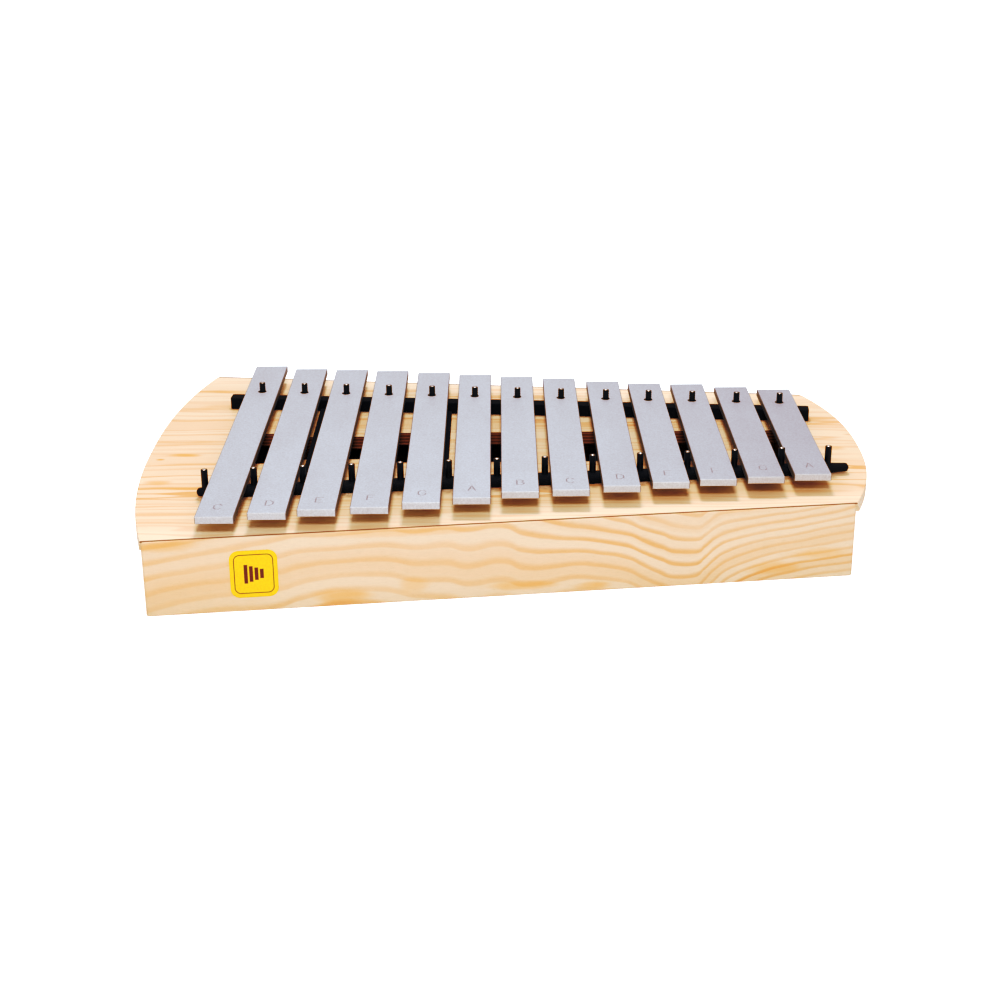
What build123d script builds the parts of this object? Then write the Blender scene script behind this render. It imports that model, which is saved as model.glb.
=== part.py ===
"""Alto metallophone: loose flat metal bars on a tapered wooden resonator box.

Frame: millimetres, +Z up, +X towards the short, high bars, +Y away from the player.
The origin is under the middle of the box, on the surface that it stands on.
"""

import os
from math import atan2, cos, degrees, radians, sin, tan

from build123d import *

# The box: a trapezoid that gets shallower towards the high notes.
half_length = 233.0
half_depth_low_end = 172.7
half_depth_high_end = 115.8
box_height = 52.3
board_thickness = 10.0
plate_thickness = 9.5
end_overhang = 22.7
end_fullness = 2.3
end_points = 17
mitre_lip = 1.2
eased_edge = 0.6
corner_radius = 2.0
seam_width = 0.8
plate_edge_radius = 0.8

# The floor of the box, let in between the boards and screwed to the corner blocks.
panel_thickness = 4.0
panel_recess = 1.5
panel_gap = 0.3
corner_block = 14.0

# Walls inside the box, one between each two slots.
partition_thickness = 4.0

# Slots in the top plate, one under each pair of bars and a short one under the third bar.
slot_centres = [-176.0, -124.0, -72.0, -6.0, 59.0, 124.0, 190.0]
slot_widths = [40.0, 46.0, 40.0, 40.0, 40.0, 40.0, 40.0]
slot_lengths = [63.0, 48.0, 63.0, 63.0, 63.0, 63.0, 63.0]
slot_corner = 5.0

# The bars, from the lowest note to the highest. Each lies loosely on its pin, so it is a
# little off the common line along its length (its middle), across (its shift) and in its
# direction (its turn, in degrees, about the pin).
bar_width = 25.0
bar_thickness = 5.0
bar_pitch = 32.7
row_middle_x = 10.0
bar_lengths = [320, 306, 298, 291, 278, 264, 248, 240, 225, 213, 206, 194, 183]
bar_middles = [-5, -6, -5, -5, -4, -3, -1, -2, -3, -3, -2, -4, -5]
bar_shifts = [0, 0, -0.4, -0.3, 0, 0, -0.3, 0, 1.1, 0.5, 0.5, 0.8, 0.1]
bar_turns = [0, 0, -0.25, 0, 0, 0, -0.15, 0, 0.05, 0.4, 0.15, 0, 0]
bar_eased_edge = 0.4
bar_hole_radius = 3.2
bar_hole_forward = 0.6
pin_sideways = 0.3

# The two supports under the bars run at this angle to the row, towards each other.
support_angle = 5.0
rail_middle_y = 76.2
back_pin_middle_y = 74.0
cord_middle_y = -79.0
support_height = 9.0
rail_depth = 11.0
rail_corner = 1.2
rail_start_x = -210.5
rail_end_x = 229.0
cord_radius = 4.4
cord_tip_radius = 3.1
cord_tip_rounding = 2.4
cord_taper = 30.0
cord_start_x = -208.0
cord_end_x = 237.5

# Pins: a steel rod with a rounded top inside a black sleeve, driven into the top plate.
rod_radius = 1.4
rod_rounding = 0.6
rod_depth = 8.0
rod_above_sleeve = 0.3
sleeve_radius = 2.25
pin_clearance = 0.05
back_pin_stand = 7.2
front_pin_stand = 6.8

# Staples along the front foot of the cord, in every second gap between the bars.
staple_width = 8.5
staple_wire = 0.9
staple_leg = 4.0
staple_offset = 3.4

# Two flat black strips that lie on the plate between the rail and the cord.
strip_width = 7.0
strip_height = 3.0
strip_middles = [-137.5, -43.6]
strip_gap = 1.0

# Screws that hold the floor, and the label on the front board.
screw_head_radius = 3.0
screw_radius = 1.4
screw_length = 14.0
screw_slot_width = 0.8
screw_slot_length = 3.6
screw_slot_depth = 0.7
screw_inset = 8.0
label_width = 30.5
label_height = 32.5
label_corner = 6.0
label_thickness = 0.3
label_x = -163.0
label_z = 26.3

# How far an edge or a face may be from where a selector expects it.
tolerance = 0.05

os.makedirs("parts", exist_ok=True)

box_angle = degrees(atan2(half_depth_low_end - half_depth_high_end, 2 * half_length))
middle_half_depth = (half_depth_low_end + half_depth_high_end) / 2
slant = cos(radians(box_angle))
board_margin = board_thickness / slant
plate_bottom = box_height - plate_thickness
panel_top = panel_recess + panel_thickness
bar_bottom = box_height + support_height
bar_top = bar_bottom + bar_thickness
bar_count = len(bar_lengths)
row_start_x = row_middle_x - bar_pitch * (bar_count - 1) / 2
bar_positions = [row_start_x + bar_pitch * i + shift for i, shift in enumerate(bar_shifts)]
gap_positions = [row_start_x + bar_pitch * (i - 0.5) for i in range(bar_count + 1)]
back_pin_top = bar_top + back_pin_stand
front_pin_top = bar_top + front_pin_stand


def half_depth(x):
    """Half the depth of the box at x, to the outside of the boards."""
    return middle_half_depth - x * tan(radians(box_angle))


def rail_y(x):
    """The middle line of the back rail."""
    return rail_middle_y - x * tan(radians(support_angle))


def back_pin_y(x):
    """The line of the back pins, a little in front of the middle of the rail."""
    return back_pin_middle_y - x * tan(radians(support_angle))


def cord_y(x):
    """The middle line of the front cord, which the front pins pass through."""
    return cord_middle_y + x * tan(radians(support_angle))


back_places = [(x + pin_sideways, back_pin_y(x)) for x in bar_positions]
front_places = [(x + pin_sideways, cord_y(x)) for x in gap_positions]


def inside_outline(start, end, margin):
    """A piece of the box's plan between two x, its slanted sides moved inwards by margin."""
    Polygon(
        (start, margin - half_depth(start)),
        (end, margin - half_depth(end)),
        (end, half_depth(end) - margin),
        (start, half_depth(start) - margin),
        align=None,
    )


def bowed_end(side, depth):
    """Points of the plate's bowed end, a little fuller than a parabola, from front to back."""
    shares = [2 * i / (end_points - 1) - 1 for i in range(end_points)]
    return [
        (side * (half_length + end_overhang * (1 - abs(share) ** end_fullness)), depth * share)
        for share in shares
    ]


def save(part, name):
    part.label = name
    export_step(part, f"parts/{name}.step")


# Section plane across the front board: its x runs inwards, its y up, its z along the board.
along_front = Vector(cos(radians(box_angle)), sin(radians(box_angle)), 0)
into_box = Vector(-sin(radians(box_angle)), cos(radians(box_angle)), 0)
front_corner = Vector(-half_length, -half_depth_low_end, 0)
past_corner = 30.0
front_section = Plane(
    origin=front_corner - along_front * past_corner,
    x_dir=into_box,
    z_dir=along_front,
)
front_run = 2 * half_length / slant + 2 * past_corner

with BuildPart() as front_board:
    with BuildSketch(front_section):
        Polygon(
            (0, 0),
            (board_thickness, 0),
            (board_thickness, plate_bottom),
            (mitre_lip, box_height),
            (0, box_height),
            align=None,
        )
    extrude(amount=front_run)
    split(bisect_by=Plane.YZ.offset(half_length), keep=Keep.BOTTOM)
    split(bisect_by=Plane.YZ.offset(-half_length), keep=Keep.TOP)
    uprights = front_board.edges().filter_by(Axis.Z)
    outer_uprights = [
        edge
        for edge in uprights
        if abs(abs(edge.center().Y) - half_depth(edge.center().X)) < tolerance
    ]
    fillet(outer_uprights, corner_radius)
    front_face = front_board.faces().filter_by(
        lambda face: face.normal_at().dot(into_box) < tolerance - 1
    )
    long_edges = front_face.edges().filter_by(lambda edge: abs(edge.tangent_at(0).Z) < tolerance)
    chamfer(long_edges, eased_edge)
save(front_board.part, "front_board")

with BuildPart() as back_board:
    mirror(front_board.part, about=Plane.XZ)
save(back_board.part, "back_board")

for side, name in ((-1, "left_end_board"), (1, "right_end_board")):
    outer_x = side * half_length
    inner_x = side * (half_length - board_thickness)
    with BuildPart() as end_board:
        with BuildSketch():
            inside_outline(min(outer_x, inner_x), max(outer_x, inner_x), board_margin)
        extrude(amount=plate_bottom)
    save(end_board.part, name)

with BuildPart() as top_plate:
    with BuildSketch(Plane.XY.offset(plate_bottom)):
        with BuildLine():
            low_end = bowed_end(-1, half_depth_low_end)
            high_end = bowed_end(1, half_depth_high_end)
            Line(low_end[0], high_end[0])
            Spline(*high_end)
            Line(high_end[-1], low_end[-1])
            Spline(*low_end)
        make_face()
    extrude(amount=plate_thickness)
    bowed_edges = top_plate.edges().filter_by(GeomType.BSPLINE)
    fillet(bowed_edges, plate_edge_radius)
    with BuildSketch(front_section):
        Polygon(
            (mitre_lip, box_height),
            (-past_corner, box_height),
            (-past_corner, plate_bottom),
            (board_thickness, plate_bottom),
            align=None,
        )
    mitre = extrude(amount=front_run, mode=Mode.PRIVATE)
    add(mitre, mode=Mode.SUBTRACT)
    mirror(mitre, about=Plane.XZ, mode=Mode.SUBTRACT)
    with BuildSketch(front_section):
        Polygon(
            (mitre_lip - seam_width, box_height),
            (mitre_lip + seam_width, box_height),
            (mitre_lip + seam_width / 2, box_height - seam_width),
            (mitre_lip - seam_width, box_height - seam_width),
            align=None,
        )
    seam = extrude(amount=front_run, mode=Mode.PRIVATE)
    add(seam, mode=Mode.SUBTRACT)
    mirror(seam, about=Plane.XZ, mode=Mode.SUBTRACT)
    for centre, width, length in zip(slot_centres, slot_widths, slot_lengths):
        with BuildSketch(Plane.XY.offset(box_height)):
            with Locations((centre, 0)):
                RectangleRounded(width, length, slot_corner)
        extrude(amount=-plate_thickness, mode=Mode.SUBTRACT)
    with Locations(*[(x, y, box_height) for x, y in back_places + front_places]):
        Hole(rod_radius + pin_clearance, depth=rod_depth)
save(top_plate.part, "top_plate")

screw_places = [
    (
        side * (half_length - board_thickness - screw_inset),
        end * (half_depth(side * (half_length - board_thickness - screw_inset))
               - board_margin - screw_inset),
    )
    for side in (-1, 1)
    for end in (-1, 1)
]

with BuildPart() as bottom_panel:
    with BuildSketch(Plane.XY.offset(panel_recess)):
        inner_x = half_length - board_thickness - panel_gap
        inside_outline(-inner_x, inner_x, board_margin + panel_gap)
    extrude(amount=panel_thickness)
    for x, y in screw_places:
        with Locations(Plane((x, y, panel_recess), z_dir=(0, 0, -1))):
            CounterSinkHole(screw_radius + pin_clearance, screw_head_radius + pin_clearance)
save(bottom_panel.part, "bottom_panel")

with BuildPart() as corner_blocks:
    with BuildSketch(Plane.XY.offset(panel_top)):
        for side in (-1, 1):
            corner_x = side * (half_length - board_thickness)
            near_x = corner_x - side * corner_block
            for end in (-1, 1):
                corner_y = half_depth(corner_x) - board_margin
                near_y = half_depth(near_x) - board_margin
                Polygon(
                    (corner_x, end * corner_y),
                    (near_x, end * near_y),
                    (near_x, end * (corner_y - corner_block)),
                    (corner_x, end * (corner_y - corner_block)),
                    align=None,
                )
    extrude(amount=plate_bottom - panel_top)
    for x, y in screw_places:
        with Locations(Plane((x, y, panel_top), z_dir=(0, 0, -1))):
            Hole(screw_radius + pin_clearance, depth=screw_length)
save(corner_blocks.part, "corner_blocks")

with BuildPart() as panel_screws:
    for x, y in screw_places:
        screw_plane = Plane((x, y, panel_recess), z_dir=(0, 0, 1))
        with BuildSketch(Plane((x, y, panel_recess), x_dir=(1, 0, 0), z_dir=(0, -1, 0))):
            Polygon(
                (0, 0),
                (screw_head_radius, 0),
                (screw_radius, screw_head_radius - screw_radius),
                (screw_radius, screw_length - 2 * screw_radius),
                (0, screw_length),
                align=None,
            )
        revolve(axis=Axis((x, y, 0), (0, 0, 1)))
        with BuildSketch(screw_plane):
            Rectangle(screw_slot_length, screw_slot_width)
            Rectangle(screw_slot_width, screw_slot_length)
        extrude(amount=screw_slot_depth, mode=Mode.SUBTRACT)
save(panel_screws.part, "panel_screws")

for number in range(1, len(slot_centres)):
    before = slot_centres[number - 1] + slot_widths[number - 1] / 2
    after = slot_centres[number] - slot_widths[number] / 2
    middle = (before + after) / 2
    with BuildPart() as partition:
        with BuildSketch(Plane.XY.offset(panel_top)):
            start = middle - partition_thickness / 2
            inside_outline(start, start + partition_thickness, board_margin)
        extrude(amount=plate_bottom - panel_top)
    save(partition.part, f"partition_{number}")

# The back rail: a square black strip with rounded edges, drilled for the back pins.
rail_middle_x = (rail_start_x + rail_end_x) / 2
rail_length = (rail_end_x - rail_start_x) / cos(radians(support_angle))
rail_plane = Plane(
    origin=(rail_middle_x, rail_y(rail_middle_x), box_height),
    x_dir=(cos(radians(support_angle)), -sin(radians(support_angle)), 0),
    z_dir=(0, 0, 1),
)
with BuildPart() as back_rail:
    with BuildSketch(rail_plane):
        Rectangle(rail_length, rail_depth)
    extrude(amount=support_height)
    fillet(back_rail.edges().filter_by(Axis.Z), rail_corner)
    with Locations(*[(x, y, bar_bottom) for x, y in back_places]):
        Hole(sleeve_radius + pin_clearance)
save(back_rail.part, "back_rail")

# The front cord: a round black cord that tapers towards its rounded tips, pierced by the
# front pins.
cord_along = Vector(cos(radians(support_angle)), sin(radians(support_angle)), 0)
along_to_side = Vector(-sin(radians(support_angle)), cos(radians(support_angle)), 0)
cord_start = Vector(cord_start_x, cord_y(cord_start_x), box_height + cord_radius)
cord_length = (cord_end_x - cord_start_x) / cos(radians(support_angle))
cord_section = Plane(origin=cord_start, x_dir=cord_along, z_dir=-along_to_side)
with BuildPart() as front_cord:
    with BuildSketch(cord_section):
        Polygon(
            (0, 0),
            (0, cord_tip_radius),
            (cord_taper, cord_radius),
            (cord_length - cord_taper, cord_radius),
            (cord_length, cord_tip_radius),
            (cord_length, 0),
            align=None,
        )
    revolve(axis=Axis(cord_start, cord_along))
    round_edges = front_cord.edges().filter_by(GeomType.CIRCLE)
    fillet(round_edges.filter_by(lambda edge: edge.radius < cord_radius - tolerance), cord_tip_rounding)
    with Locations(*[(x, y, bar_bottom) for x, y in front_places]):
        Hole(sleeve_radius + pin_clearance, depth=2 * support_height)
save(front_cord.part, "front_cord")

# Staples: flat wire crowns along the foot of the cord, with two legs in the plate.
with BuildPart() as cord_staples:
    for x in gap_positions[1:-1:2]:
        crown_middle = Vector(x, cord_y(x), box_height + staple_wire) - along_to_side * staple_offset
        with BuildSketch(Plane(origin=crown_middle, x_dir=cord_along, z_dir=-along_to_side)):
            with Locations((0, -(staple_leg + staple_wire) / 2)):
                Rectangle(staple_width, staple_leg + staple_wire)
            with Locations((0, -(staple_leg + staple_wire) / 2 - staple_wire)):
                inner_width = staple_width - 2 * staple_wire
                Rectangle(inner_width, staple_leg + staple_wire, mode=Mode.SUBTRACT)
        extrude(amount=staple_wire / 2, both=True)
save(cord_staples.part, "cord_staples")


def pin_rods(places, top):
    """Steel rods with rounded tops, their lower ends in the plate."""
    with BuildPart() as rods:
        for x, y in places:
            with BuildSketch(Plane((x, y, box_height - rod_depth), z_dir=(0, 0, 1))):
                Circle(rod_radius)
            extrude(amount=top - box_height + rod_depth)
        fillet(rods.edges().group_by(Axis.Z)[-1], rod_rounding)
    return rods.part


def pin_sleeves(places, top):
    """Black tubes round the rods, from the plate to just below their tops."""
    with BuildPart() as sleeves:
        for x, y in places:
            with BuildSketch(Plane((x, y, box_height), z_dir=(0, 0, 1))):
                Circle(sleeve_radius)
                Circle(rod_radius + pin_clearance, mode=Mode.SUBTRACT)
            extrude(amount=top - rod_above_sleeve - box_height)
    return sleeves.part


save(pin_rods(back_places, back_pin_top), "back_pins")
save(pin_sleeves(back_places, back_pin_top), "back_pin_sleeves")
save(pin_rods(front_places, front_pin_top), "front_pins")
save(pin_sleeves(front_places, front_pin_top), "front_pin_sleeves")

for x, name in zip(strip_middles, ("left_strip", "right_strip")):
    strip_front = cord_y(x) + cord_radius + strip_gap
    strip_back = rail_y(x) - rail_depth / 2 - strip_gap
    with BuildPart() as strip:
        with BuildSketch(Plane.XY.offset(box_height)):
            with Locations((x, (strip_front + strip_back) / 2)):
                Rectangle(strip_width, strip_back - strip_front)
        extrude(amount=strip_height)
    save(strip.part, name)

label_plane = Plane(
    origin=(label_x, -half_depth(label_x), label_z),
    x_dir=along_front,
    z_dir=-into_box,
)
with BuildPart() as label:
    with BuildSketch(label_plane):
        RectangleRounded(label_width, label_height, label_corner)
    extrude(amount=label_thickness)
save(label.part, "label")

for number, (x, length, middle, turn) in enumerate(
    zip(bar_positions, bar_lengths, bar_middles, bar_turns), 1
):
    hole_y = back_pin_y(x) - bar_hole_forward
    bar_plane = Plane((x, hole_y, bar_bottom), z_dir=(0, 0, 1)).rotated((0, 0, turn))
    with BuildPart() as bar:
        with BuildSketch(bar_plane):
            with Locations((0, middle - hole_y)):
                Rectangle(bar_width, length)
        extrude(amount=bar_thickness)
        chamfer(bar.edges(), bar_eased_edge)
        with Locations((x, hole_y, bar_top)):
            Hole(bar_hole_radius)
    save(bar.part, f"bar_{number:02d}")
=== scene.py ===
"""Looks of the alto metallophone: pine box, matte metal bars, black supports and pins."""

import math

import bmesh
import bpy
from mathutils import Matrix, Vector


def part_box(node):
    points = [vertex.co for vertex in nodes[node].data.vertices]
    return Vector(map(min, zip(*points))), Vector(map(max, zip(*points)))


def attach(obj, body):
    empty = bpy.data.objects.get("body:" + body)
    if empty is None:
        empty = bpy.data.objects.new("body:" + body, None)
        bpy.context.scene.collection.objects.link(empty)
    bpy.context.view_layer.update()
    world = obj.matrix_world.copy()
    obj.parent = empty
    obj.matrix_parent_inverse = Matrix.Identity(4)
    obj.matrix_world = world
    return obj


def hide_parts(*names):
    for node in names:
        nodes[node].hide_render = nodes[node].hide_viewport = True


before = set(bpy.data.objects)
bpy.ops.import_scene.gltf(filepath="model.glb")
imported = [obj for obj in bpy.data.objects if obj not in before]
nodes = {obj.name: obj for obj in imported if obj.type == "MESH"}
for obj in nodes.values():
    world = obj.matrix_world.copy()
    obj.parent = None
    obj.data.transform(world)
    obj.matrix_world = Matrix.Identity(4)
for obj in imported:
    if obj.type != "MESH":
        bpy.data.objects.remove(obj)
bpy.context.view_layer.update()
scene = bpy.context.scene

MM = 0.001
BAR_NODES = sorted(name for name in nodes if name.startswith("bar_"))

# The box, as in the CAD, in millimetres. It is deepest at the low end, on the left.
HALF_LENGTH = 233.0
MIDDLE_HALF_DEPTH = 144.25
HALF_DEPTH_LOST = 56.9
DEPTH_FALL = HALF_DEPTH_LOST / (2 * HALF_LENGTH)
BOX_ANGLE = math.atan(DEPTH_FALL)
BOX_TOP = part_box("top_plate")[1].z / MM
PLATE_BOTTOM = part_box("top_plate")[0].z / MM
SEAM_INSET = 1.2
SLOTS_INSET = 20.0
SLOTS_HALF_REACH = 218.0

# The back rail and the front cord lie at this angle to the row of bars.
SUPPORT_ANGLE = math.radians(5)


# ---------------------------------------------------------------- shader helpers


def srgb(red, green, blue):
    """A linear colour from display values of 0 to 255."""
    def linear(value):
        value /= 255
        return value / 12.92 if value <= 0.04045 else ((value + 0.055) / 1.055) ** 2.4
    return (linear(red), linear(green), linear(blue), 1.0)


class Shader:
    """One material and short ways to add nodes to it."""

    def __init__(self, name):
        self.material = bpy.data.materials.new(name)
        self.material.use_nodes = True
        self.tree = self.material.node_tree
        self.surface = self.tree.nodes["Principled BSDF"]
        coordinates = self.tree.nodes.new("ShaderNodeTexCoord")
        to_mm = self.tree.nodes.new("ShaderNodeVectorMath")
        to_mm.operation = "SCALE"
        to_mm.inputs["Scale"].default_value = 1 / MM
        self.link(coordinates.outputs["Object"], to_mm.inputs[0])
        self.point = to_mm.outputs[0]
        self.normal = coordinates.outputs["Normal"]
        self.x, self.y, self.z = self.split(self.point)

    def link(self, source, target):
        self.tree.links.new(source, target)

    def put(self, value, target):
        """Sets an input from a number, a colour or another node's output."""
        if isinstance(value, bpy.types.NodeSocket):
            self.link(value, target)
        else:
            target.default_value = value

    def split(self, vector):
        node = self.tree.nodes.new("ShaderNodeSeparateXYZ")
        self.put(vector, node.inputs[0])
        return node.outputs[0], node.outputs[1], node.outputs[2]

    def join(self, x, y, z):
        node = self.tree.nodes.new("ShaderNodeCombineXYZ")
        for value, target in zip((x, y, z), node.inputs):
            self.put(value, target)
        return node.outputs[0]

    def math(self, operation, *values, clamp=False):
        node = self.tree.nodes.new("ShaderNodeMath")
        node.operation = operation
        node.use_clamp = clamp
        for value, target in zip(values, node.inputs):
            self.put(value, target)
        return node.outputs[0]

    def add(self, *terms):
        total = terms[0]
        for term in terms[1:]:
            total = self.math("ADD", total, term)
        return total

    def times(self, *factors):
        product = factors[0]
        for factor in factors[1:]:
            product = self.math("MULTIPLY", product, factor)
        return product

    def stretched(self, x, y, z):
        """The point in millimetres, with each axis multiplied by its own frequency."""
        node = self.tree.nodes.new("ShaderNodeVectorMath")
        node.operation = "MULTIPLY"
        self.put(self.point, node.inputs[0])
        node.inputs[1].default_value = (x, y, z)
        return node.outputs[0]

    def noise(self, vector, detail=2.0, rough=0.5, distortion=0.0):
        node = self.tree.nodes.new("ShaderNodeTexNoise")
        self.put(vector, node.inputs["Vector"])
        node.inputs["Scale"].default_value = 1.0
        node.inputs["Detail"].default_value = detail
        node.inputs["Roughness"].default_value = rough
        node.inputs["Distortion"].default_value = distortion
        return node.outputs["Fac"]

    def noise_along(self, value, detail=1.0):
        """Noise of a single number."""
        node = self.tree.nodes.new("ShaderNodeTexNoise")
        node.noise_dimensions = "1D"
        self.put(value, node.inputs["W"])
        node.inputs["Scale"].default_value = 1.0
        node.inputs["Detail"].default_value = detail
        return node.outputs["Fac"]

    def ramp(self, value, low, high, start=0.0, end=1.0, smooth=True):
        node = self.tree.nodes.new("ShaderNodeMapRange")
        node.interpolation_type = "SMOOTHSTEP" if smooth else "LINEAR"
        for socket, number in zip(node.inputs[:5], (value, low, high, start, end)):
            self.put(number, socket)
        return node.outputs[0]

    def window(self, value, low, high, soft):
        """1 between low and high, with soft sides of the given width."""
        rise = self.ramp(value, low - soft, low)
        return self.times(rise, self.ramp(value, high, high + soft, 1.0, 0.0))

    def curve(self, value, points):
        """A smooth curve through (position 0 to 1, height 0 to 1) points."""
        node = self.tree.nodes.new("ShaderNodeFloatCurve")
        line = node.mapping.curves[0]
        line.points[0].location = points[0]
        line.points[1].location = points[-1]
        for place in points[1:-1]:
            line.points.new(*place)
        node.mapping.update()
        self.put(value, node.inputs["Value"])
        return node.outputs[0]

    def mix(self, share, first, second, blend="MIX"):
        node = self.tree.nodes.new("ShaderNodeMix")
        node.data_type = "RGBA"
        node.blend_type = blend
        self.put(share, node.inputs["Factor"])
        self.put(first, node.inputs[6])
        self.put(second, node.inputs[7])
        return node.outputs[2]

    def shaded(self, colour, shade):
        return self.mix(1.0, colour, self.join(shade, shade, shade), "MULTIPLY")

    def bump(self, height, strength, depth_mm):
        node = self.tree.nodes.new("ShaderNodeBump")
        node.inputs["Strength"].default_value = strength
        node.inputs["Distance"].default_value = depth_mm * MM
        self.put(height, node.inputs["Height"])
        return node.outputs[0]

    def finish(self, **values):
        for name, value in values.items():
            self.put(value, self.surface.inputs[name.replace("_", " ")])
        return self.material


def dress(material, *names):
    """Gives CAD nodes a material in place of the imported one."""
    for name in names:
        mesh = nodes[name].data
        mesh.materials.clear()
        mesh.materials.append(material)


# ---------------------------------------------------------------- wood


def inset(wood):
    """How far inside the outer faces of the slanted boards a point lies, in millimetres."""
    depth = wood.math("SUBTRACT", MIDDLE_HALF_DEPTH, wood.times(wood.x, DEPTH_FALL))
    depth = wood.math("SUBTRACT", depth, wood.math("ABSOLUTE", wood.y))
    return wood.times(depth, math.cos(BOX_ANGLE))


def seam_shadow(wood):
    """The joint line between the top plate and the front and back boards: a mask for its dark glue
    line and the painted shade in its groove.
    """
    line = wood.window(inset(wood), SEAM_INSET - 0.6, SEAM_INSET + 0.9, 0.25)
    return wood.times(line, wood.ramp(wood.z, BOX_TOP - 1.2, BOX_TOP - 0.6))


def slot_walls(wood):
    """The routed sides of the slots: only they stand upright inside the plate's outline."""
    _, _, normal_z = wood.split(wood.normal)
    upright = wood.math("LESS_THAN", wood.math("ABSOLUTE", normal_z), 0.5)
    inside = wood.math("GREATER_THAN", inset(wood), SLOTS_INSET)
    within = wood.math("LESS_THAN", wood.math("ABSOLUTE", wood.x), SLOTS_HALF_REACH)
    return wood.times(upright, inside, within)


def pine(name, ring_number, light, dark, band, strength, details=None):
    """Lacquered pine.

    ring_number(shader) gives how many growth rings lie below a point, and band is the share
    of a ring at which its dark part has risen, starts to fade and has faded.
    """
    wood = Shader(name)
    rings = ring_number(wood)
    part = wood.math("FRACT", rings)
    risen, fading, faded = band
    late = wood.times(
        wood.ramp(part, 0.0, risen), wood.ramp(part, fading, faded, 1.0, 0.0)
    )
    each_ring = wood.tree.nodes.new("ShaderNodeTexWhiteNoise")
    each_ring.noise_dimensions = "1D"
    wood.link(wood.math("FLOOR", rings), each_ring.inputs["W"])
    ring_depth = wood.ramp(each_ring.outputs["Value"], 0, 1, 0.40, 1.0, smooth=False)
    patches = wood.noise(wood.stretched(0.008, 0.02, 0.03), detail=2)
    patch_depth = wood.ramp(patches, 0.3, 0.7, 0.6, 1.15)
    late = wood.math("MULTIPLY", late, wood.times(ring_depth, patch_depth, strength), clamp=True)

    fibres = wood.noise(wood.stretched(0.05, 1.6, 1.6), detail=5, rough=0.65)
    pores = wood.noise(wood.stretched(0.16, 3.5, 3.5), detail=1)
    pores = wood.ramp(pores, 0.66, 0.78)
    drift = wood.noise_along(wood.times(rings, 0.55))
    warmth = wood.ramp(drift, 0.38, 0.68, 0.0, 0.42)

    colour = wood.mix(warmth, light, wood.mix(0.5, light, dark))
    colour = wood.mix(late, colour, dark)
    colour = wood.shaded(colour, wood.ramp(fibres, 0.25, 0.75, 0.94, 1.03, smooth=False))
    colour = wood.mix(wood.times(pores, 0.20), colour, srgb(190, 128, 72))
    if details:
        colour = details(wood, colour)
    roughness = wood.ramp(fibres, 0.2, 0.8, 0.42, 0.58, smooth=False)
    height = wood.add(fibres, wood.times(pores, -0.6), wood.times(late, 0.35))
    return wood.finish(
        Base_Color=colour,
        Roughness=roughness,
        Coat_Weight=0.15,
        Coat_Roughness=0.3,
        Normal=wood.bump(height, 0.35, 0.12),
    )


# One growth line on the long boards, as heights in millimetres along the board from the low
# end, and how far apart the lines lie there.
BOARD_LINE = (
    (-233, 27), (-201, 32.2), (-178, 35.3), (-147, 38.8), (-132, 42), (-105, 42.6), (-77, 43),
    (-58, 40.5), (-39, 41.1), (-25, 38.4), (-6, 40.5), (10, 35), (29, 32.3), (48, 31),
    (62, 28.8), (78, 25.2), (90, 19.0), (103, 13.0), (114, 9.2), (124, 8.8), (131, 13.0),
    (138, 20.0), (148, 26), (165, 30.4), (190, 34), (215, 37.6), (233, 40.8),
)
BOARD_SPACING = (
    (-233, 11), (-200, 10.2), (-150, 11.5), (-105, 9.8), (-60, 11.5), (-15, 13.0), (15, 12.0),
    (50, 9.0), (80, 8.6), (112, 9.2), (135, 8.0), (152, 6.6), (190, 5.4), (233, 5.8),
)


def along_board(wood, points, full):
    """A value given at places along X, smoothly joined."""
    share = wood.ramp(wood.x, -HALF_LENGTH, HALF_LENGTH, smooth=False)
    line = [((x + HALF_LENGTH) / (2 * HALF_LENGTH), value / full) for x, value in points]
    return wood.times(wood.curve(share, line), full)


def board_rings(wood):
    """Wavy figure of the front and back boards.

    The lines climb from the low end to a long uneven crest, drop steeply into a valley and
    climb again, closer together, to the high end.
    """
    waves = wood.noise(wood.stretched(0.03, 0.0, 0.06), detail=2)
    height = wood.math("SUBTRACT", wood.z, along_board(wood, BOARD_LINE, 52.0))
    height = wood.add(height, wood.times(waves, 3.4), -1.7)
    lines = wood.math("DIVIDE", height, along_board(wood, BOARD_SPACING, 20.0))
    return wood.add(lines, wood.times(wood.y, 0.004), 30.0)


def plate_rings(wood):
    """Straighter figure of the top plate, its lines along X, in bands of varied spacing."""
    bands = wood.noise_along(wood.times(wood.y, 0.035), detail=2.0)
    waves = wood.noise(wood.stretched(0.006, 0.016, 0.02), detail=2, rough=0.5)
    return wood.add(
        wood.times(wood.y, 0.085), wood.times(bands, 6.0), wood.times(waves, 3.4),
        wood.times(wood.x, 0.0022), wood.times(wood.z, 0.3),
    )


def panel_rings(wood):
    waves = wood.noise(wood.stretched(0.01, 0.02, 0.02), detail=2)
    return wood.add(wood.times(wood.y, 0.12), wood.times(waves, 8.0))


def end_rings(wood):
    """The end boards' grain runs along Y."""
    waves = wood.noise(wood.stretched(0.02, 0.008, 0.03), detail=2)
    return wood.add(wood.times(wood.z, 0.12), wood.times(waves, 5.0))


def patch(wood, middle_x, middle_v, half_x, half_v, v):
    """A soft-edged oval patch, 1 in its middle; v is the coordinate across the grain."""
    u = wood.times(wood.add(wood.x, -middle_x), 1 / half_x)
    w = wood.times(wood.add(v, -middle_v), 1 / half_v)
    uneven = wood.noise(wood.stretched(0.05, 0.15, 0.15), detail=2)
    out = wood.add(wood.times(u, u), wood.times(w, w), wood.times(uneven, 1.6))
    return wood.ramp(out, 0.6, 2.3, 1.0, 0.0)


RESIN = srgb(230, 164, 102)
# Painted light: paler wood along both long edges of the plate.
EDGE_PAINTED_LIGHT = srgb(252, 236, 212)


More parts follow.
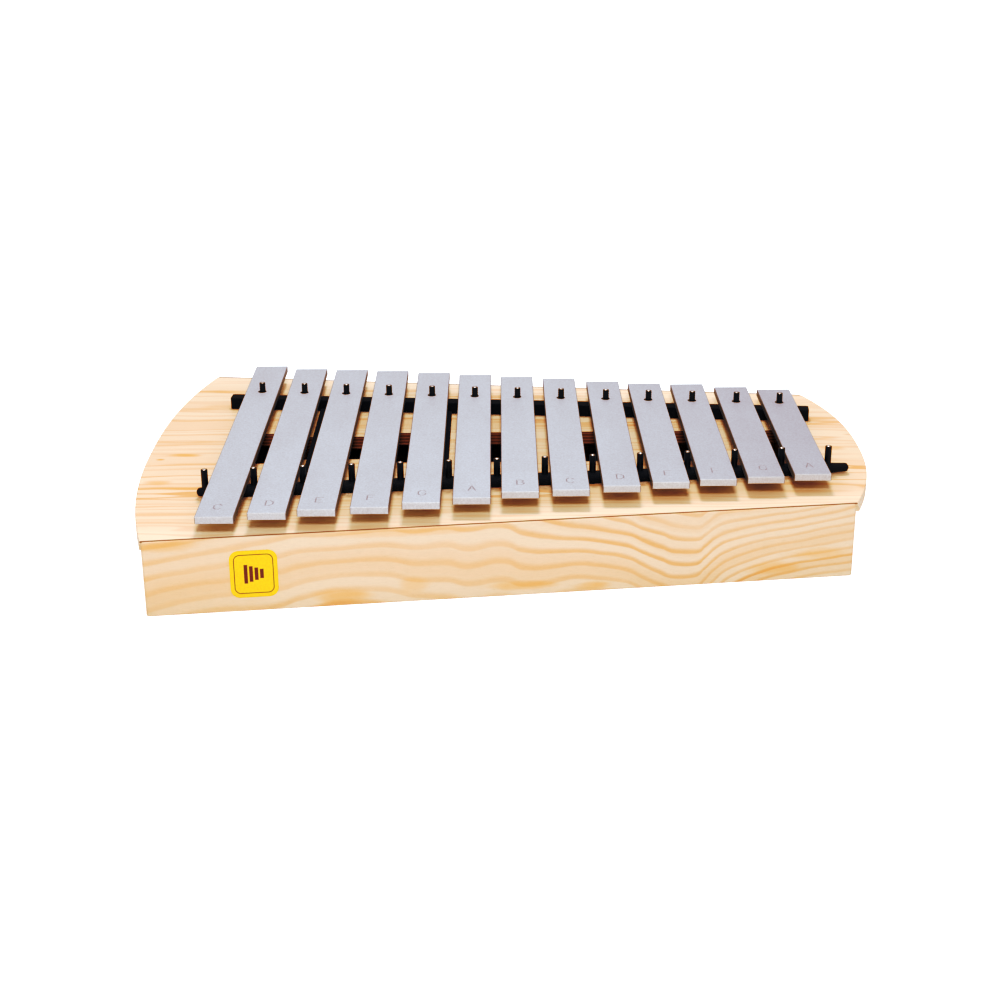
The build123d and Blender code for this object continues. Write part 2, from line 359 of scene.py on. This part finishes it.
def patches(wood, colour, places, v, tint):
    """Tinted patches of the wood: (middle x, middle v, half length, half width, depth)."""
    for middle_x, middle_v, half_x, half_v, depth in places:
        share = wood.times(patch(wood, middle_x, middle_v, half_x, half_v, v), depth)
        colour = wood.mix(share, colour, tint)
    return colour


PLATE_PATCHES = (
    (-229, -13, 12, 3.6, 0.75), (-240, -68, 11, 5.0, 0.55), (-212, -80, 22, 3.6, 0.40),
    (-203, 93, 34, 8.0, 0.32), (-222, 133, 26, 4.5, 0.30), (-246, -22, 3.2, 1.6, 0.9),
    (236, -8, 10, 4.0, 0.5), (205, -92, 30, 3.0, 0.45), (110, -104, 34, 3.0, 0.4),
)
BOARD_PATCHES = (
    (-222, 24, 70, 60, 0.12),
    (-107, 7, 20, 6.0, 0.55), (8, 7, 24, 3.5, 0.50), (57, 4, 13, 3.2, 0.60),
    (180, 9, 18, 5.0, 0.45), (212, 18, 26, 4.5, 0.38), (-218, 48, 20, 4.0, 0.35),
    (-60, 12, 10, 6.0, 0.30), (-60, 49, 60, 2.5, 0.30),
)


def plate_details(wood, colour):
    """Patches, painted light along both long edges, ply lines and painted shade on the routed walls
    of the slots, and the joint at the boards with its glue line and painted shade.
    """
    colour = patches(wood, colour, PLATE_PATCHES, wood.y, RESIN)
    # Paler along both long edges: painted light.
    painted_light_edge = wood.ramp(inset(wood), 12.0, 34.0, 1.0, 0.0)
    colour = wood.mix(wood.times(painted_light_edge, 0.38), colour, EDGE_PAINTED_LIGHT)
    # The slot walls: ply lines on a darker brown that is partly painted shade inside the slots.
    plies = wood.window(
        wood.math("FRACT", wood.times(wood.math("SUBTRACT", wood.z, PLATE_BOTTOM), 0.42)),
        0.30, 0.55, 0.15,
    )
    shaded_wall_plies = wood.mix(wood.times(plies, 0.7), srgb(112, 70, 44), srgb(186, 134, 86))
    colour = wood.mix(slot_walls(wood), colour, shaded_wall_plies)
    return joint_glue_and_shade(wood, colour)


def board_details(wood, colour):
    return joint_glue_and_shade(wood, patches(wood, colour, BOARD_PATCHES, wood.z, RESIN))


def joint_glue_and_shade(wood, colour):
    # A dark glue line and painted shade in the joint's groove.
    return wood.mix(wood.times(seam_shadow(wood), 0.9), colour, srgb(112, 68, 48))


BAND_SOFT = (0.14, 0.24, 0.60)
BAND_THIN = (0.10, 0.14, 0.46)
dress(
    pine("board_pine", board_rings, srgb(232, 211, 184), srgb(222, 158, 107), BAND_SOFT, 0.72,
         board_details),
    "front_board", "back_board",
)
dress(
    pine("plate_pine", plate_rings, srgb(243, 220, 190), srgb(228, 160, 105), BAND_THIN, 0.76,
         plate_details),
    "top_plate",
)
dress(
    pine("end_pine", end_rings, srgb(246, 219, 178), srgb(228, 174, 110), BAND_SOFT, 0.8),
    "left_end_board", "right_end_board",
)
dress(
    pine("panel_pine", panel_rings, srgb(222, 190, 146), srgb(190, 140, 86), BAND_SOFT, 0.8),
    "bottom_panel", "corner_blocks", *[n for n in nodes if n.startswith("partition_")],
)


# ---------------------------------------------------------------- metal, rubber and label


# A face looks along an axis where its normal's share of that axis is above this.
FACING = 0.7
# Painted shade for the short bars and the long sides, and a warm painted reflection for the ends.
SHORT_BARS_PAINTED_SHADE = srgb(156, 164, 175)
BAR_ENDS_PAINTED_REFLECTION = srgb(202, 203, 204)
BAR_SIDES_PAINTED_SHADE = srgb(96, 98, 106)


def bar_painted_light(stuff, colour):
    """Painted light on the bars: painted shade on the long sides, a warm painted reflection on the
    ends, and painted shade that darkens the short bars.
    """
    normal_x, normal_y, _ = stuff.split(stuff.normal)
    sides = stuff.math("GREATER_THAN", stuff.math("ABSOLUTE", normal_x), FACING)
    ends = stuff.math("GREATER_THAN", stuff.math("ABSOLUTE", normal_y), FACING)
    # Painted shade, growing towards the short bars.
    short_bar_shade = stuff.ramp(stuff.x, 20.0, 220.0, 0.0, 0.45)
    colour = stuff.mix(short_bar_shade, colour, SHORT_BARS_PAINTED_SHADE)
    # Warm painted reflection of the wood on the end faces.
    colour = stuff.mix(stuff.times(ends, 0.8), colour, BAR_ENDS_PAINTED_REFLECTION)
    # Painted shade on the long side faces.
    return stuff.mix(stuff.times(sides, 0.85), colour, BAR_SIDES_PAINTED_SHADE)


def metal(name, colour, metallic, low_rough, high_rough, speckle, faces=None):
    """Matte blasted metal: fine speckle, faint clouds, and grinding lines across the bars."""
    stuff = Shader(name)
    grit = stuff.noise(stuff.stretched(0.9, 0.9, 0.9), detail=4, rough=0.75)
    cloud = stuff.noise(stuff.stretched(0.03, 0.012, 0.03), detail=3)
    lines = stuff.noise(stuff.stretched(0.06, 1.6, 0.06), detail=3, rough=0.7)
    shade = stuff.ramp(grit, 0.3, 0.7, 1 - speckle, 1 + speckle, smooth=False)
    shade = stuff.times(shade, stuff.ramp(cloud, 0.3, 0.7, 0.97, 1.03))
    shade = stuff.times(shade, stuff.ramp(lines, 0.3, 0.7, 0.985, 1.015))
    roughness = stuff.ramp(grit, 0.25, 0.75, low_rough, high_rough, smooth=False)
    height = stuff.add(grit, stuff.times(lines, 0.4))
    # For the bars, faces paints light onto the colour: painted shade and a painted reflection.
    if faces:
        colour = faces(stuff, colour)
    return stuff.finish(
        Base_Color=stuff.shaded(colour, shade),
        Metallic=metallic,
        Roughness=roughness,
        Normal=stuff.bump(height, 0.3, 0.03),
    )


def black(name, colour, low_rough, high_rough, frequency, bump_depth):
    """Black rubber, felt or plastic, by how rough and how coarse it is."""
    stuff = Shader(name)
    grain = stuff.noise(stuff.stretched(frequency, frequency, frequency), detail=4, rough=0.65)
    dust = stuff.noise(stuff.stretched(0.4, 0.4, 0.4), detail=4, rough=0.7)
    dusty = stuff.ramp(dust, 0.55, 0.85, 0.0, 0.10)
    return stuff.finish(
        Base_Color=stuff.mix(dusty, colour, srgb(60, 58, 64)),
        Roughness=stuff.ramp(grain, 0.3, 0.7, low_rough, high_rough),
        Specular_IOR_Level=0.3,
        Normal=stuff.bump(grain, 0.5, bump_depth),
    )


def yellow_label():
    """Plain sticker with a thin frame and a sign of its own: four bars, long to short."""
    frame_half_x, frame_half_z, frame_inside, frame_outside = 8.5, 9.5, 3.7, 4.1
    bar_step, bar_left, bar_right, bar_half, bar_shrink = 3.4, -6.2, -4.0, 6.5, 1.1
    soft = 0.15
    paper = Shader("yellow_label")
    low, high = (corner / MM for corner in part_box("label"))
    across = paper.math("SUBTRACT", paper.x, (low.x + high.x) / 2)
    up = paper.math("SUBTRACT", paper.z, (low.z + high.z) / 2)

    def beyond(value, half):
        past = paper.math("SUBTRACT", paper.math("ABSOLUTE", value), half)
        return paper.math("MAXIMUM", past, 0.0)

    out_x, out_z = beyond(across, frame_half_x), beyond(up, frame_half_z)
    out = paper.math("SQRT", paper.add(paper.times(out_x, out_x), paper.times(out_z, out_z)))
    printed = paper.window(out, frame_inside, frame_outside, soft)
    for i in range(4):
        bar = paper.window(across, bar_step * i + bar_left, bar_step * i + bar_right, soft)
        half = bar_half - bar_shrink * i
        bar = paper.times(bar, paper.window(up, -half, half, soft))
        printed = paper.add(printed, bar)
    fleck = paper.noise(paper.stretched(0.8, 0.8, 0.8), detail=3)
    ground = paper.mix(paper.ramp(fleck, 0.35, 0.7), srgb(248, 210, 8), srgb(242, 200, 10))
    return paper.finish(
        Base_Color=paper.mix(printed, ground, srgb(92, 36, 18)),
        Roughness=paper.ramp(fleck, 0.3, 0.7, 0.28, 0.40),
        Coat_Weight=0.4,
        Coat_Roughness=0.12,
    )


bar_metal = metal("bar_metal", srgb(188, 197, 206), 0.40, 0.48, 0.62, 0.17, bar_painted_light)
# Darker metal in the stamped letters' grooves: painted shade.
stamp_groove_shade = metal("stamp_groove_shade", srgb(166, 171, 178), 0.40, 0.40, 0.55, 0.10)
steel = metal("pin_steel", srgb(214, 214, 212), 1.0, 0.22, 0.42, 0.05)
rail_rubber = black("rail_rubber", srgb(9, 8, 11), 0.75, 0.92, 1.5, 0.10)
cord_rubber = black("cord_rubber", srgb(13, 13, 18), 0.62, 0.85, 1.6, 0.15)
strip_felt = black("strip_felt", srgb(14, 13, 19), 0.88, 0.98, 2.0, 0.30)
sleeve_plastic = black("sleeve_plastic", srgb(10, 10, 12), 0.42, 0.60, 0.9, 0.05)
dress(steel, "back_pins", "front_pins", "cord_staples", "panel_screws")
dress(yellow_label(), "label")


# ---------------------------------------------------------------- pieces


def make_piece(name, mesh, material, body, slot, *replaced):
    """A visible piece that stands for CAD nodes and moves with their body."""
    piece = bpy.data.objects.new(name, mesh)
    scene.collection.objects.link(piece)
    if material:
        mesh.materials.append(material)
    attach(piece, body)
    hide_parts(*replaced)
    return piece


def mesh_from(name, vertices, faces, smooth=True):
    mesh = bpy.data.meshes.new(name)
    mesh.from_pydata([Vector(v) * MM for v in vertices], [], faces)
    for polygon in mesh.polygons:
        polygon.use_smooth = smooth
    return mesh


def sweep(name, start, end, section, stations):
    """A strip from start to end with closed ends.

    section is the outline as (across, up) factors, and stations are (distance along, half
    width, height below the axis, height above it), all in millimetres.
    """
    along = (end - start).normalized()
    across = Vector((-along.y, along.x, 0))
    vertices = []
    for distance, half_width, below, above in stations:
        middle = start + along * distance
        for side, up in section:
            lift = up * (above if up > 0 else below)
            vertices.append(middle + across * (side * half_width) + Vector((0, 0, lift)))
    count = len(section)
    faces = [tuple(range(count - 1, -1, -1))]
    for ring in range(len(stations) - 1):
        for i in range(count):
            j = (i + 1) % count
            first, second = ring * count, (ring + 1) * count
            faces.append((first + i, first + j, second + j, second + i))
    last = (len(stations) - 1) * count
    faces.append(tuple(last + i for i in range(count)))
    return mesh_from(name, vertices, faces)


def round_section(count):
    return [(math.cos(math.tau * i / count), math.sin(math.tau * i / count)) for i in range(count)]


def square_section(roundness, steps):
    """A square with rounded corners, from -1 to 1."""
    outline = []
    for quarter in range(4):
        turn = math.pi / 2 * quarter
        middle = Vector((1 - roundness, 1 - roundness)) @ Matrix.Rotation(-turn, 2)
        for step in range(steps + 1):
            angle = turn + math.pi / 2 * step / steps
            outline.append((middle.x + roundness * math.cos(angle),
                            middle.y + roundness * math.sin(angle)))
    return outline


def ease(value):
    value = min(max(value, 0.0), 1.0)
    return value * value * (3 - 2 * value)


bar_middles_x = [(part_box(name)[0].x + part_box(name)[1].x) / 2 / MM for name in BAR_NODES]
bar_width = (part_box("bar_01")[1].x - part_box("bar_01")[0].x) / MM

# How far the supports give under the bars, and over what width that fades, in millimetres.
CORD_PRESSED = 0.35
RAIL_PRESSED = 0.25
PRESS_SPREAD = 3.0

# Lengthwise divisions of each support.
LONG_STEPS = 420


def under_bar(x):
    """1 under a bar and 0 between bars, for how far the supports are pressed down."""
    nearest = min(abs(x - middle) for middle in bar_middles_x)
    return 1 - ease((nearest - bar_width / 2 + PRESS_SPREAD / 2) / PRESS_SPREAD)


def node_line(node, rising):
    """The ends of a slanted support's middle line, at its lowest level, and its height."""
    low, high = (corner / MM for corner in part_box(node))
    reach = abs(high.y - low.y - (high.x - low.x) * math.tan(SUPPORT_ANGLE)) / 2
    near, far = low.y + reach, high.y - reach
    start_y, end_y = (near, far) if rising else (far, near)
    return Vector((low.x, start_y, low.z)), Vector((high.x, end_y, low.z)), high.z - low.z


def front_cord():
    """Round cord, pressed a little flat under each bar, its tips tapered and rounded."""
    start, end, height = node_line("front_cord", rising=True)
    radius = height / 2
    length = (end - start).length
    start.z = end.z = start.z + radius
    tip, taper, rounding = 0.70, 30.0, 2.6
    stations = []
    for i in range(LONG_STEPS + 1):
        distance = length * i / LONG_STEPS
        inward = min(distance, length - distance)
        size = radius * (tip + (1 - tip) * ease(inward / taper))
        if inward < rounding:
            size *= 0.35 + 0.65 * math.sqrt(1 - (1 - inward / rounding) ** 2)
        x = start.x + (end.x - start.x) * i / LONG_STEPS
        pressed = CORD_PRESSED * under_bar(x)
        stations.append((distance, size, size, size - pressed if inward > taper else size))
    mesh = sweep("front_cord", start, end, round_section(28), stations)
    return make_piece("front_support_cord", mesh, cord_rubber, "box", "black_rubber", "front_cord")


def back_rail():
    """Square rubber rail with soft edges, pressed down a little under each bar."""
    start, end, height = node_line("back_rail", rising=False)
    low, high = (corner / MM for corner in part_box("back_rail"))
    drift = (high.x - low.x) * math.tan(SUPPORT_ANGLE)
    width = (high.y - low.y - drift) * math.cos(SUPPORT_ANGLE)
    end_gap, end_rounding, end_shrink = 0.5, 1.2, 0.09
    length = (end - start).length - 2 * end_gap
    along = (end - start).normalized()
    start = start + along * end_gap
    start.z = start.z + height / 2
    end = end - along * end_gap
    end.z = start.z
    stations = []
    for i in range(LONG_STEPS + 1):
        distance = length * i / LONG_STEPS
        inward = min(distance, length - distance)
        corner = 1 - end_shrink * (1 - ease(inward / end_rounding))
        x = start.x + (end.x - start.x) * i / LONG_STEPS
        stations.append((distance, width / 2 * corner, height / 2,
                         height / 2 - RAIL_PRESSED * under_bar(x)))
    mesh = sweep("back_rail", start, end, square_section(0.16, 4), stations)
    return make_piece("back_support_rail", mesh, rail_rubber, "box", "black_rubber", "back_rail")


def strips():
    """Flat felt strips with soft, slightly uneven edges."""
    for name in ("left_strip", "right_strip"):
        low, high = (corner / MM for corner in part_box(name))
        start = Vector(((low.x + high.x) / 2, low.y, (low.z + high.z) / 2))
        end = Vector((start.x, high.y, start.z))
        length = high.y - low.y
        half_width, half_height = (high.x - low.x) / 2, (high.z - low.z) / 2
        stations = []
        steps = 90
        for i in range(steps + 1):
            distance = length * i / steps
            inward = min(distance, length - distance)
            corner = 0.8 + 0.2 * ease(inward / 1.5)
            uneven = 0.97 + 0.03 * math.sin(distance * 0.7) * math.sin(distance * 0.23 + 1)
            stations.append((distance, half_width * corner * uneven, half_height,
                             half_height * corner * uneven))
        mesh = sweep(name, start, end, square_section(0.22, 4), stations)
        make_piece(name.replace("strip", "felt_strip"), mesh, strip_felt, "box", "black_felt", name)


def lathe(name, places, profile, segments, smooth=True):
    """One mesh with the same turned shape at every place; profile is (radius, height)."""
    vertices, faces = [], []
    for x, y in places:
        base = len(vertices)
        for radius, height in profile:
            for i in range(segments):
                angle = math.tau * i / segments
                vertices.append(
                    (x + radius * math.cos(angle), y + radius * math.sin(angle), height)
                )
        for ring in range(len(profile) - 1):
            for i in range(segments):
                j = (i + 1) % segments
                first, second = base + ring * segments, base + (ring + 1) * segments
                faces.append((first + i, first + j, second + j, second + i))
        faces.append(tuple(base + i for i in reversed(range(segments))))
        last = base + (len(profile) - 1) * segments
        faces.append(tuple(last + i for i in range(segments)))
    return mesh_from(name, vertices, faces, smooth)


# In millimetres. The pins of a row stand further apart than PIN_GAP.
PIN_GAP = 10.0
RIB_SPACING = 1.5
SLEEVE_STEP = 0.2


def pin_places(node):
    """Where a row's sleeves stand, from the middle of each one's own points, and their size."""
    low, high = (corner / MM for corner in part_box(node))
    thing = bpy.data.objects[node]
    points = sorted((thing.matrix_world @ vertex.co / MM)[:] for vertex in thing.data.vertices)
    pins = [[points[0]]]
    for point in points[1:]:
        if point[0] - pins[-1][-1][0] > PIN_GAP:
            pins.append([])
        pins[-1].append(point)
    places = []
    for pin in pins:
        across = [point[0] for point in pin]
        along = [point[1] for point in pin]
        places.append(((min(across) + max(across)) / 2, (min(along) + max(along)) / 2))
    radius = (max(p[0] for p in pins[0]) - min(p[0] for p in pins[0])) / 2
    return places, radius, low.z, high.z


def sleeves(node, ribs, name):
    """Black sleeves over the pins, ribbed or plain, with a rolled rim at the top."""
    places, radius, bottom, top = pin_places(node)
    profile = [(radius, bottom)]
    steps = int((top - bottom) / SLEEVE_STEP)
    for i in range(1, steps):
        height = bottom + (top - bottom) * i / steps
        rib = 0.5 - 0.5 * math.cos(math.tau * (top - height) / RIB_SPACING)
        profile.append((radius - ribs * rib, height))
    profile += [(radius - 0.05, top - 0.12), (radius - 0.25, top), (radius - 0.75, top),
                (radius - 0.85, top - 0.2)]
    mesh = lathe(name, places, profile, 28)
    return make_piece(name, mesh, sleeve_plastic, "box", "black_sleeve", node)


# The strokes of each letter, as points in millimetres, before it is widened and stretched.
LETTERS = {
    "A": [[(0, 0), (1.8, 6), (3.6, 0)], [(0.7, 2.2), (2.9, 2.2)]],
    "B": [[(0, 0), (0, 6), (2.2, 6), (3.2, 5.3), (3.2, 4), (2.2, 3.2), (0, 3.2)],
          [(2.2, 3.2), (3.6, 2.4), (3.6, 0.9), (2.4, 0), (0, 0)]],
    "C": [[(3.6, 4.8), (2.6, 6), (1.2, 6), (0, 4.6), (0, 1.4), (1.2, 0), (2.6, 0), (3.6, 1.2)]],
    "D": [[(0, 0), (0, 6), (2, 6), (3.6, 4.4), (3.6, 1.6), (2, 0), (0, 0)]],
    "E": [[(3.4, 6), (0, 6), (0, 0), (3.4, 0)], [(0, 3), (2.6, 3)]],
    "F": [[(3.4, 6), (0, 6), (0, 0)], [(0, 3), (2.6, 3)]],
    "G": [[(3.6, 4.8), (2.6, 6), (1.2, 6), (0, 4.6), (0, 1.4), (1.2, 0), (2.6, 0), (3.6, 1.2),
           (3.6, 2.8), (2.2, 2.8)]],
}
NOTE_NAMES = "CDEFGABCDEFGA"
LETTER_WIDTH = 3.6
LETTER_FROM_END = 13.0
LETTER_WIDEN = 1.3
LETTER_STRETCH = 1.4
STROKE = 0.62
STROKE_SIDES = 8
STAMP_DEPTH = 0.4


def stamp_cutter(letter, middle_x, foot_y, top):
    """V-shaped grooves along the letter's strokes, as overlapping closed wedges."""
    cutter = bpy.data.meshes.new("stamp_cutter")
    whole = bmesh.new()
    for stroke in LETTERS[letter]:
        for (x1, y1), (x2, y2) in zip(stroke, stroke[1:]):
            wedge = bmesh.new()
            for x, y in ((x1, y1), (x2, y2)):
                x = middle_x + LETTER_WIDEN * (x - LETTER_WIDTH / 2)
                y = foot_y + y * LETTER_STRETCH
                wedge.verts.new(Vector((x, y, top - STAMP_DEPTH)) * MM)
                for i in range(STROKE_SIDES):
                    angle = math.tau * (i + 0.5) / STROKE_SIDES
                    rim = (x + STROKE * math.cos(angle), y + STROKE * math.sin(angle), top + 0.1)
                    wedge.verts.new(Vector(rim) * MM)
            bmesh.ops.convex_hull(wedge, input=wedge.verts)
            part = bpy.data.meshes.new("wedge")
            wedge.to_mesh(part)
            wedge.free()
            whole.from_mesh(part)
            bpy.data.meshes.remove(part)
    whole.to_mesh(cutter)
    whole.free()
    # The grooves take the darker metal: painted shade.
    cutter.materials.append(stamp_groove_shade)
    return cutter


def stamped_bars():
    """The bars with their note letters stamped near the player's end."""
    for number, (node, letter) in enumerate(zip(BAR_NODES, NOTE_NAMES), 1):
        low, high = (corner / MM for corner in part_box(node))
        mesh = nodes[node].data.copy()
        mesh.materials.clear()
        mesh.materials.append(bar_metal)
        blank = bpy.data.objects.new("blank", mesh)
        scene.collection.objects.link(blank)
        cutter = bpy.data.objects.new("cutter", stamp_cutter(
            letter, (low.x + high.x) / 2, low.y + LETTER_FROM_END, high.z))
        scene.collection.objects.link(cutter)
        cut = blank.modifiers.new("stamp", "BOOLEAN")
        cut.operation = "DIFFERENCE"
        cut.solver = "EXACT"
        cut.use_self = True
        cut.material_mode = "TRANSFER"
        cut.object = cutter
        bpy.context.view_layer.update()
        evaluated = blank.evaluated_get(bpy.context.evaluated_depsgraph_get())
        stamped = bpy.data.meshes.new_from_object(evaluated)
        bpy.data.objects.remove(cutter)
        bpy.data.objects.remove(blank)
        make_piece(f"tone_bar_{letter}_{number:02d}", stamped, None,
                   f"tone_bar_{number:02d}", "bar_metal", node)


front_cord()
back_rail()
strips()
sleeves("back_pin_sleeves", 0.16, "back_ribbed_sleeves")
sleeves("front_pin_sleeves", 0.0, "front_plain_sleeves")
stamped_bars()


# ---------------------------------------------------------------- stage, lights and camera


FLOOR_SIZE = 60
WORLD_STRENGTH = 0.52
LENS_MM = 63.34
CAMERA_PLACE = (-0.0058, -1.1998, 0.4885)
CAMERA_DOWN, CAMERA_TURN, CAMERA_ROLL = (math.radians(a) for a in (21.711, -0.087, -0.375))


def studio():
    """Pale floor, seen as plain white by the camera, even surroundings and two soft lights."""
    bpy.ops.mesh.primitive_plane_add(size=FLOOR_SIZE)
    floor = bpy.context.object
    floor.name = "floor"
    pale = Shader("floor_paper")
    seen = pale.tree.nodes.new("ShaderNodeLightPath").outputs["Is Camera Ray"]
    pale.finish(
        Base_Color=(0.86, 0.86, 0.86, 1),
        Roughness=0.9,
        Emission_Color=(1, 1, 1, 1),
        Emission_Strength=seen,
    )
    floor.data.materials.append(pale.material)

    world = bpy.data.worlds.new("studio")
    world.use_nodes = True
    world.node_tree.nodes["Background"].inputs["Color"].default_value = (1, 1, 1, 1)
    world.node_tree.nodes["Background"].inputs["Strength"].default_value = WORLD_STRENGTH
    scene.world = world

    def softbox(name, place, target, width, height, power):
        light = bpy.data.lights.new(name, "AREA")
        light.shape = "RECTANGLE"
        light.size = width
        light.size_y = height
        light.energy = power
        holder = bpy.data.objects.new(name, light)
        holder.location = place
        aim = Vector(target) - Vector(place)
        holder.rotation_euler = aim.to_track_quat("-Z", "Y").to_euler()
        scene.collection.objects.link(holder)

    softbox("overhead", (0.0, 0.45, 1.55), (0, 0, 0), 0.32, 0.26, 10.5)
    softbox("front", (0.0, -1.2, 1.12), (0, 0, 0), 0.34, 0.24, 11.8)


def camera():
    lens = bpy.data.cameras.new("camera")
    lens.sensor_width = 36.0
    lens.lens = LENS_MM
    eye = bpy.data.objects.new("camera", lens)
    facing = (Matrix.Rotation(CAMERA_TURN, 4, "Z")
              @ Matrix.Rotation(math.pi / 2 - CAMERA_DOWN, 4, "X"))
    eye.matrix_world = (
        Matrix.Translation(CAMERA_PLACE) @ facing @ Matrix.Rotation(CAMERA_ROLL, 4, "Z")
    )
    scene.collection.objects.link(eye)
    scene.camera = eye


def set_tone():
    """A plain display transform and a curve for each colour, for a print's deep warm shadows."""
    scene.view_settings.view_transform = "Standard"
    scene.view_settings.use_curve_mapping = True
    mapping = scene.view_settings.curve_mapping
    red = ((0.03, 0.0115), (0.10, 0.075), (0.165, 0.165), (0.25, 0.285), (0.35, 0.41),
           (0.45, 0.51), (0.56, 0.605), (0.70, 0.72), (0.85, 0.86))
    green = ((0.03, 0.01), (0.084, 0.03), (0.126, 0.055), (0.21, 0.13), (0.29, 0.22), (0.36, 0.31),
             (0.43, 0.40), (0.50, 0.49), (0.60, 0.60), (0.72, 0.715))
    blue = ((0.03, 0.0105), (0.09, 0.018), (0.14, 0.035), (0.20, 0.08), (0.29, 0.165),
            (0.36, 0.265), (0.43, 0.375), (0.50, 0.48), (0.60, 0.60))
    for curve, points in zip(mapping.curves, (red, green, blue)):
        for light_in, light_out in points:
            curve.points.new(light_in, light_out)
    mapping.update()


studio()
camera()
set_tone()
